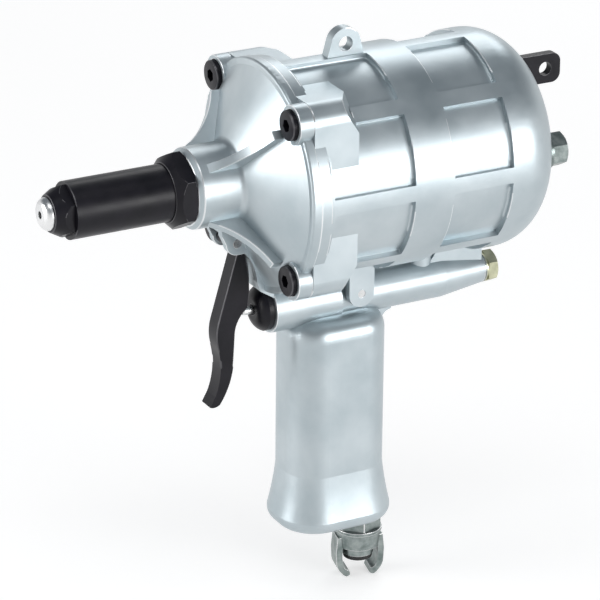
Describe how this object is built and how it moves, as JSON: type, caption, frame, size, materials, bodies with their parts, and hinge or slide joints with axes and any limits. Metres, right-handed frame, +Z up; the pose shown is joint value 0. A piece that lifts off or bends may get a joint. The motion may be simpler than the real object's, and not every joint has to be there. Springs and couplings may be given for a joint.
{
  "type": "pneumatic riveter",
  "caption": "Pistol-grip air-powered blind rivet tool: ribbed barrel, long nose with jaws, lever trigger, claw air inlet.",
  "frame": {"origin": "middle of the nozzle's mouth, on the tool's axis, where the rivet sits", "axes": "+X runs rearwards along the tool's axis, +Z up away from the grip, -Y is the side seen in the picture"},
  "size_m": [0.2464, 0.101, 0.2572],
  "materials": {
    "cast_aluminium": "light satin, fine blasted casting",
    "turned_aluminium": "turned",
    "black_steel": "satin black oxide",
    "bright_steel": "ground and polished",
    "spring_steel": "drawn wire",
    "zinc_steel": "dull zinc plated",
    "brass": "turned",
    "bronze": "sintered",
    "rubber": "matt"
  },
  "bodies": {
    "tool": {"front_housing": "cast_aluminium", "barrel": "cast_aluminium", "handle": "cast_aluminium", "bulkhead": "turned_aluminium", "nose_sleeve": "black_steel", "sleeve_lock_nut": "black_steel", "housing_screws": "black_steel", "valve_cap": "black_steel", "rear_hanger": "black_steel", "hanger_screw": "black_steel", "nozzle": "bright_steel", "trigger_pin": "bright_steel", "handle_pin": "bright_steel", "bulkhead_ring": "bright_steel", "breather_plug": "bright_steel", "return_spring": "spring_steel", "valve_spring": "spring_steel", "inlet_nipple": "zinc_steel", "claw_coupling": "zinc_steel", "inlet_strainer": "zinc_steel", "arm_plug": "brass", "arm_plug_washer": "brass", "front_transfer_tube": "brass", "rear_transfer_tube": "brass", "valve_sleeve": "brass", "rod_bush": "bronze", "breather_disc": "bronze", "rod_seal": "rubber", "bulkhead_seal": "rubber", "bulkhead_rod_seal": "rubber", "transfer_seals": "rubber", "valve_seals": "rubber", "inlet_seal": "rubber"},
    "ram": {"piston_rod": "bright_steel", "piston_clip": "bright_steel", "front_piston": "turned_aluminium", "rear_piston": "turned_aluminium", "piston_seals": "rubber", "rod_nut": "bright_steel", "jaw_housing": "bright_steel", "jaw_spring": "spring_steel"},
    "pusher": {"jaw_pusher": "bright_steel"},
    "upper_jaw": {"jaw_upper": "bright_steel"},
    "near_jaw": {"jaw_near": "bright_steel"},
    "far_jaw": {"jaw_far": "bright_steel"},
    "trigger_lever": {"trigger": "black_steel"},
    "valve_spool": {"valve_stem": "bright_steel", "stem_seals": "rubber"}
  },
  "joints": [
    {"name": "trigger_pull", "type": "hinge", "parent": "tool", "child": "trigger_lever", "pos_m": [0.0865, 0, -0.0255], "axis": [0, -1, 0], "range_deg": [0, 6], "stiffness_Nm_per_rad": 2, "springref_deg": -2.86},
    {"name": "valve_travel", "type": "slide", "parent": "tool", "child": "valve_spool", "axis": [1, 0, 0], "range_m": [0, 0.0038], "deforming": ["valve_spring"]},
    {"name": "piston_stroke", "type": "slide", "parent": "tool", "child": "ram", "axis": [1, 0, 0], "range_m": [0, 0.016], "stiffness_N_per_m": 800, "springref_m": -0.01, "deforming": ["return_spring"]},
    {"name": "pusher_travel", "type": "slide", "parent": "ram", "child": "pusher", "axis": [-1, 0, 0], "range_m": [0, 0.002], "deforming": ["jaw_spring"]},
    {"name": "upper_jaw_slide", "type": "slide", "parent": "ram", "child": "upper_jaw", "axis": [-0.986, 0, -0.1669], "range_m": [0, 0.002]},
    {"name": "near_jaw_slide", "type": "slide", "parent": "ram", "child": "near_jaw", "axis": [-0.986, 0.1445, 0.0834], "range_m": [0, 0.002]},
    {"name": "far_jaw_slide", "type": "slide", "parent": "ram", "child": "far_jaw", "axis": [-0.986, -0.1445, 0.0834], "range_m": [0, 0.002]}
  ],
  "couplings": [
    {"joint": "valve_travel", "follows": "trigger_pull", "m_per_rad": 0.0355},
    {"joint": "pusher_travel", "follows": "piston_stroke", "ratio": 0.125},
    {"joint": "upper_jaw_slide", "follows": "piston_stroke", "ratio": 0.125},
    {"joint": "near_jaw_slide", "follows": "piston_stroke", "ratio": 0.125},
    {"joint": "far_jaw_slide", "follows": "piston_stroke", "ratio": 0.125}
  ]
}
